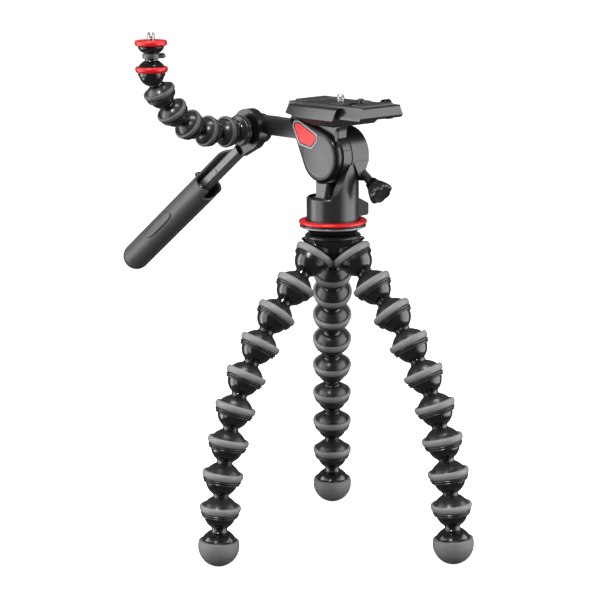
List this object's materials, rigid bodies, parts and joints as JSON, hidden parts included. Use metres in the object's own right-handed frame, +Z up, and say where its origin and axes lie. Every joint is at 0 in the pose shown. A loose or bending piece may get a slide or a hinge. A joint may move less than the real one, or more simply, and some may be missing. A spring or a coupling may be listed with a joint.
{
  "type": "flexible camera tripod with pan head",
  "caption": "Flexible ball-and-socket legged camera support with a tilting pan head, sliding camera plate, folding handle and a flexible accessory arm.",
  "frame": {"origin": "on the floor, on the pan axis, at the middle of the circle that the three feet stand on", "axes": "+Z up along the pan axis; the camera plate slides along Y and the lens looks along -Y; the tilt axis lies along X; the handle points to +Y and the accessory arm to -X"},
  "size_m": [0.1934, 0.3451, 0.3844],
  "materials": {
    "black_plastic": "moulded black, glossy",
    "dark_rubber": "dark grey, matte",
    "grey_metal": "grey anodised, satin",
    "red_trim": "red, satin",
    "satin_metal": "dark grey, satin",
    "steel": "bright plated steel"
  },
  "bodies": {
    "leg_hub": {"leg_hub": "black_plastic", "leg_hub_rings": "dark_rubber", "head_flange": "grey_metal", "collar_ring": "red_trim"},
    "pan_base": {"pan_base": "satin_metal"},
    "cradle": {"cradle": "satin_metal", "side_cover": "satin_metal", "cover_badge": "red_trim", "plate_seat": "satin_metal", "handle_bracket": "satin_metal"},
    "tilt_lock_knob": {"tilt_lock_knob": "black_plastic"},
    "camera_plate": {"camera_plate": "satin_metal", "plate_pads": "dark_rubber"},
    "plate_lever": {"plate_lever": "black_plastic"},
    "camera_screw": {"camera_screw": "steel"},
    "video_pin": {"video_pin": "steel"},
    "pan_handle": {"handle_bar": "satin_metal", "fold_pin": "steel"},
    "handle_grip": {"handle_grip": "dark_rubber"},
    "fold_button": {"fold_button": "black_plastic"},
    "arm_base": {"arm_base": "black_plastic"},
    "arm_link_1": {"arm_link_1": "black_plastic"},
    "arm_link_2": {"arm_link_2": "black_plastic"},
    "arm_link_3": {"arm_link_3": "black_plastic"},
    "arm_link_4": {"arm_link_4": "black_plastic"},
    "arm_link_5": {"arm_link_5": "black_plastic"},
    "arm_head": {"arm_head": "black_plastic", "arm_head_ring": "red_trim", "arm_screw": "steel"},
    "arm_lock_ring": {"arm_lock_ring": "grey_metal"},
    "arm_disc": {"arm_disc": "red_trim"},
    "leg_a_link_1": {"leg_a_link_1": "black_plastic"},
    "leg_a_link_2": {"leg_a_link_2": "black_plastic"},
    "leg_a_link_3": {"leg_a_link_3": "black_plastic"},
    "leg_a_link_4": {"leg_a_link_4": "black_plastic"},
    "leg_a_link_5": {"leg_a_link_5": "black_plastic"},
    "leg_a_link_6": {"leg_a_link_6": "black_plastic"},
    "leg_a_link_7": {"leg_a_link_7": "black_plastic"},
    "leg_a_link_8": {"leg_a_link_8": "black_plastic"},
    "leg_a_foot": {"leg_a_foot": "black_plastic"},
    "leg_b_link_1": {"leg_b_link_1": "black_plastic"},
    "leg_b_link_2": {"leg_b_link_2": "black_plastic"},
    "leg_b_link_3": {"leg_b_link_3": "black_plastic"},
    "leg_b_link_4": {"leg_b_link_4": "black_plastic"},
    "leg_b_link_5": {"leg_b_link_5": "black_plastic"},
    "leg_b_link_6": {"leg_b_link_6": "black_plastic"},
    "leg_b_link_7": {"leg_b_link_7": "black_plastic"},
    "leg_b_link_8": {"leg_b_link_8": "black_plastic"},
    "leg_b_foot": {"leg_b_foot": "black_plastic"},
    "leg_c_link_1": {"leg_c_link_1": "black_plastic"},
    "leg_c_link_2": {"leg_c_link_2": "black_plastic"},
    "leg_c_link_3": {"leg_c_link_3": "black_plastic"},
    "leg_c_link_4": {"leg_c_link_4": "black_plastic"},
    "leg_c_link_5": {"leg_c_link_5": "black_plastic"},
    "leg_c_link_6": {"leg_c_link_6": "black_plastic"},
    "leg_c_link_7": {"leg_c_link_7": "black_plastic"},
    "leg_c_link_8": {"leg_c_link_8": "black_plastic"},
    "leg_c_foot": {"leg_c_foot": "black_plastic"}
  },
  "joints": [
    {"name": "pan_turn", "type": "hinge", "parent": "leg_hub", "child": "pan_base", "pos_m": [0, 0, 0.24387], "axis": [0, 0, 1], "continuous": true},
    {"name": "head_tilt", "type": "hinge", "parent": "pan_base", "child": "cradle", "pos_m": [0, 0, 0.29457], "axis": [1, 0, 0], "range_deg": [-60, 45]},
    {"name": "tilt_lock_turn", "type": "hinge", "parent": "pan_base", "child": "tilt_lock_knob", "pos_m": [0.013, 0, 0.29457], "axis": [0, -0.8192, -0.5736], "continuous": true},
    {"name": "plate_slide", "type": "slide", "parent": "cradle", "child": "camera_plate", "axis": [0, 1, 0], "range_m": [-0.015, 0.015]},
    {"name": "plate_lever_turn", "type": "hinge", "parent": "cradle", "child": "plate_lever", "pos_m": [0.0316, 0.014, 0.31717], "axis": [0, 0, 1], "range_deg": [0, 60]},
    {"name": "camera_screw_turn", "type": "hinge", "parent": "camera_plate", "child": "camera_screw", "pos_m": [0.005, -0.0034, 0.33267], "axis": [0, 0, 1], "continuous": true},
    {"name": "video_pin_press", "type": "slide", "parent": "camera_plate", "child": "video_pin", "axis": [0, 0, -1], "range_m": [0, 0.0025], "stiffness_N_per_m": 300},
    {"name": "handle_angle", "type": "hinge", "parent": "cradle", "child": "pan_handle", "pos_m": [-0.0053, 0.081, 0.30697], "axis": [-1, 0, 0], "range_deg": [-60, 30]},
    {"name": "grip_fold", "type": "hinge", "parent": "pan_handle", "child": "handle_grip", "pos_m": [-0.0108, 0.13269, 0.25914], "axis": [-1, 0, 0], "range_deg": [0, 90]},
    {"name": "fold_button_press", "type": "slide", "parent": "handle_grip", "child": "fold_button", "axis": [0, -0.5948, -0.8039], "range_m": [0, 0.0013], "stiffness_N_per_m": 250},
    {"name": "arm_swivel", "type": "hinge", "parent": "cradle", "child": "arm_base", "pos_m": [-0.0204, 0.081, 0.30697], "axis": [-1, 0, 0], "range_deg": [-90, 90]},
    {"name": "arm_ball_1", "type": "hinge", "parent": "arm_base", "child": "arm_link_1", "pos_m": [-0.02907, 0.081, 0.30697], "axis": [0, 1, 0], "range_deg": [-25, 25]},
    {"name": "arm_ball_2", "type": "hinge", "parent": "arm_link_1", "child": "arm_link_2", "pos_m": [-0.04752, 0.081, 0.30826], "axis": [0.309, 0, 0.9511], "range_deg": [-25, 25]},
    {"name": "arm_ball_3", "type": "hinge", "parent": "arm_link_2", "child": "arm_link_3", "pos_m": [-0.06512, 0.081, 0.31398], "axis": [0, -1, 0], "range_deg": [-25, 25]},
    {"name": "arm_ball_4", "type": "hinge", "parent": "arm_link_3", "child": "arm_link_4", "pos_m": [-0.08046, 0.081, 0.32432], "axis": [-0.766, 0, -0.6428], "range_deg": [-25, 25]},
    {"name": "arm_ball_5", "type": "hinge", "parent": "arm_link_4", "child": "arm_link_5", "pos_m": [-0.09235, 0.081, 0.33849], "axis": [0, 1, 0], "range_deg": [-25, 25]},
    {"name": "arm_ball_6", "type": "hinge", "parent": "arm_link_5", "child": "arm_head", "pos_m": [-0.10046, 0.081, 0.35512], "axis": [0.8988, 0, 0.4384], "range_deg": [-25, 25]},
    {"name": "arm_lock_turn", "type": "hinge", "parent": "arm_head", "child": "arm_lock_ring", "pos_m": [-0.10046, 0.081, 0.36772], "axis": [0, 0, 1], "range_deg": [-30, 60]},
    {"name": "arm_disc_turn", "type": "hinge", "parent": "arm_head", "child": "arm_disc", "pos_m": [-0.10046, 0.081, 0.37502], "axis": [0, 0, 1], "continuous": true},
    {"name": "leg_a_ball_1", "type": "hinge", "parent": "leg_hub", "child": "leg_a_link_1", "pos_m": [0.01271, 0.01412, 0.21857], "axis": [-0.7431, 0.6691, 0], "range_deg": [-25, 25]},
    {"name": "leg_a_ball_2", "type": "hinge", "parent": "leg_a_link_1", "child": "leg_a_link_2", "pos_m": [0.02301, 0.02556, 0.19887], "axis": [0.505, 0.5609, 0.6561], "range_deg": [-25, 25]},
    {"name": "leg_a_ball_3", "type": "hinge", "parent": "leg_a_link_2", "child": "leg_a_link_3", "pos_m": [0.03399, 0.03775, 0.18], "axis": [0.7431, -0.6691, 0], "range_deg": [-25, 25]},
    {"name": "leg_a_ball_4", "type": "hinge", "parent": "leg_a_link_3", "child": "leg_a_link_4", "pos_m": [0.04285, 0.04759, 0.1588], "axis": [-0.5908, -0.6562, -0.4695], "range_deg": [-25, 25]},
    {"name": "leg_a_ball_5", "type": "hinge", "parent": "leg_a_link_4", "child": "leg_a_link_5", "pos_m": [0.05071, 0.05631, 0.13673], "axis": [-0.7431, 0.6691, 0], "range_deg": [-25, 25]},
    {"name": "leg_a_ball_6", "type": "hinge", "parent": "leg_a_link_5", "child": "leg_a_link_6", "pos_m": [0.05656, 0.06282, 0.11331], "axis": [0.6506, 0.7226, 0.2334], "range_deg": [-25, 25]},
    {"name": "leg_a_ball_7", "type": "hinge", "parent": "leg_a_link_6", "child": "leg_a_link_7", "pos_m": [0.06047, 0.06716, 0.089], "axis": [0.7431, -0.6691, 0], "range_deg": [-25, 25]},
    {"name": "leg_a_ball_8", "type": "hinge", "parent": "leg_a_link_7", "child": "leg_a_link_8", "pos_m": [0.06366, 0.0707, 0.06446], "axis": [-0.6666, -0.7403, -0.0872], "range_deg": [-25, 25]},
    {"name": "leg_a_ball_9", "type": "hinge", "parent": "leg_a_link_8", "child": "leg_a_foot", "pos_m": [0.06512, 0.07232, 0.03955], "axis": [-0.7431, 0.6691, 0], "range_deg": [-25, 25]},
    {"name": "leg_b_ball_1", "type": "hinge", "parent": "leg_hub", "child": "leg_b_link_1", "pos_m": [-0.01858, 0.00395, 0.21857], "axis": [-0.2079, -0.9781, 0], "range_deg": [-25, 25]},
    {"name": "leg_b_ball_2", "type": "hinge", "parent": "leg_b_link_1", "child": "leg_b_link_2", "pos_m": [-0.03364, 0.00715, 0.19887], "axis": [-0.7382, 0.1569, 0.6561], "range_deg": [-25, 25]},
    {"name": "leg_b_ball_3", "type": "hinge", "parent": "leg_b_link_2", "child": "leg_b_link_3", "pos_m": [-0.04968, 0.01056, 0.18], "axis": [0.2079, 0.9781, 0], "range_deg": [-25, 25]},
    {"name": "leg_b_ball_4", "type": "hinge", "parent": "leg_b_link_3", "child": "leg_b_link_4", "pos_m": [-0.06264, 0.01331, 0.1588], "axis": [0.8637, -0.1836, -0.4695], "range_deg": [-25, 25]},
    {"name": "leg_b_ball_5", "type": "hinge", "parent": "leg_b_link_4", "child": "leg_b_link_5", "pos_m": [-0.07412, 0.01576, 0.13673], "axis": [-0.2079, -0.9781, 0], "range_deg": [-25, 25]},
    {"name": "leg_b_ball_6", "type": "hinge", "parent": "leg_b_link_5", "child": "leg_b_link_6", "pos_m": [-0.08269, 0.01758, 0.11331], "axis": [-0.9511, 0.2022, 0.2334], "range_deg": [-25, 25]},
    {"name": "leg_b_ball_7", "type": "hinge", "parent": "leg_b_link_6", "child": "leg_b_link_7", "pos_m": [-0.08839, 0.01879, 0.089], "axis": [0.2079, 0.9781, 0], "range_deg": [-25, 25]},
    {"name": "leg_b_ball_8", "type": "hinge", "parent": "leg_b_link_7", "child": "leg_b_link_8", "pos_m": [-0.09306, 0.01978, 0.06446], "axis": [0.9744, -0.2071, -0.0872], "range_deg": [-25, 25]},
    {"name": "leg_b_ball_9", "type": "hinge", "parent": "leg_b_link_8", "child": "leg_b_foot", "pos_m": [-0.09519, 0.02023, 0.03955], "axis": [-0.2079, -0.9781, 0], "range_deg": [-25, 25]},
    {"name": "leg_c_ball_1", "type": "hinge", "parent": "leg_hub", "child": "leg_c_link_1", "pos_m": [0.00587, -0.01807, 0.21857], "axis": [0.9511, 0.309, 0], "range_deg": [-25, 25]},
    {"name": "leg_c_ball_2", "type": "hinge", "parent": "leg_c_link_1", "child": "leg_c_link_2", "pos_m": [0.01063, -0.03271, 0.19887], "axis": [0.2332, -0.7178, 0.6561], "range_deg": [-25, 25]},
    {"name": "leg_c_ball_3", "type": "hinge", "parent": "leg_c_link_2", "child": "leg_c_link_3", "pos_m": [0.0157, -0.04831, 0.18], "axis": [-0.9511, -0.309, 0], "range_deg": [-25, 25]},
    {"name": "leg_c_ball_4", "type": "hinge", "parent": "leg_c_link_3", "child": "leg_c_link_4", "pos_m": [0.01979, -0.06091, 0.1588], "axis": [-0.2728, 0.8397, -0.4695], "range_deg": [-25, 25]},
    {"name": "leg_c_ball_5", "type": "hinge", "parent": "leg_c_link_4", "child": "leg_c_link_5", "pos_m": [0.02342, -0.07207, 0.13673], "axis": [0.9511, 0.309, 0], "range_deg": [-25, 25]},
    {"name": "leg_c_ball_6", "type": "hinge", "parent": "leg_c_link_5", "child": "leg_c_link_6", "pos_m": [0.02612, -0.0804, 0.11331], "axis": [0.3005, -0.9248, 0.2334], "range_deg": [-25, 25]},
    {"name": "leg_c_ball_7", "type": "hinge", "parent": "leg_c_link_6", "child": "leg_c_link_7", "pos_m": [0.02793, -0.08595, 0.089], "axis": [-0.9511, -0.309, 0], "range_deg": [-25, 25]},
    {"name": "leg_c_ball_8", "type": "hinge", "parent": "leg_c_link_7", "child": "leg_c_link_8", "pos_m": [0.0294, -0.09048, 0.06446], "axis": [-0.3078, 0.9474, -0.0872], "range_deg": [-25, 25]},
    {"name": "leg_c_ball_9", "type": "hinge", "parent": "leg_c_link_8", "child": "leg_c_foot", "pos_m": [0.03007, -0.09256, 0.03955], "axis": [0.9511, 0.309, 0], "range_deg": [-25, 25]}
  ]
}
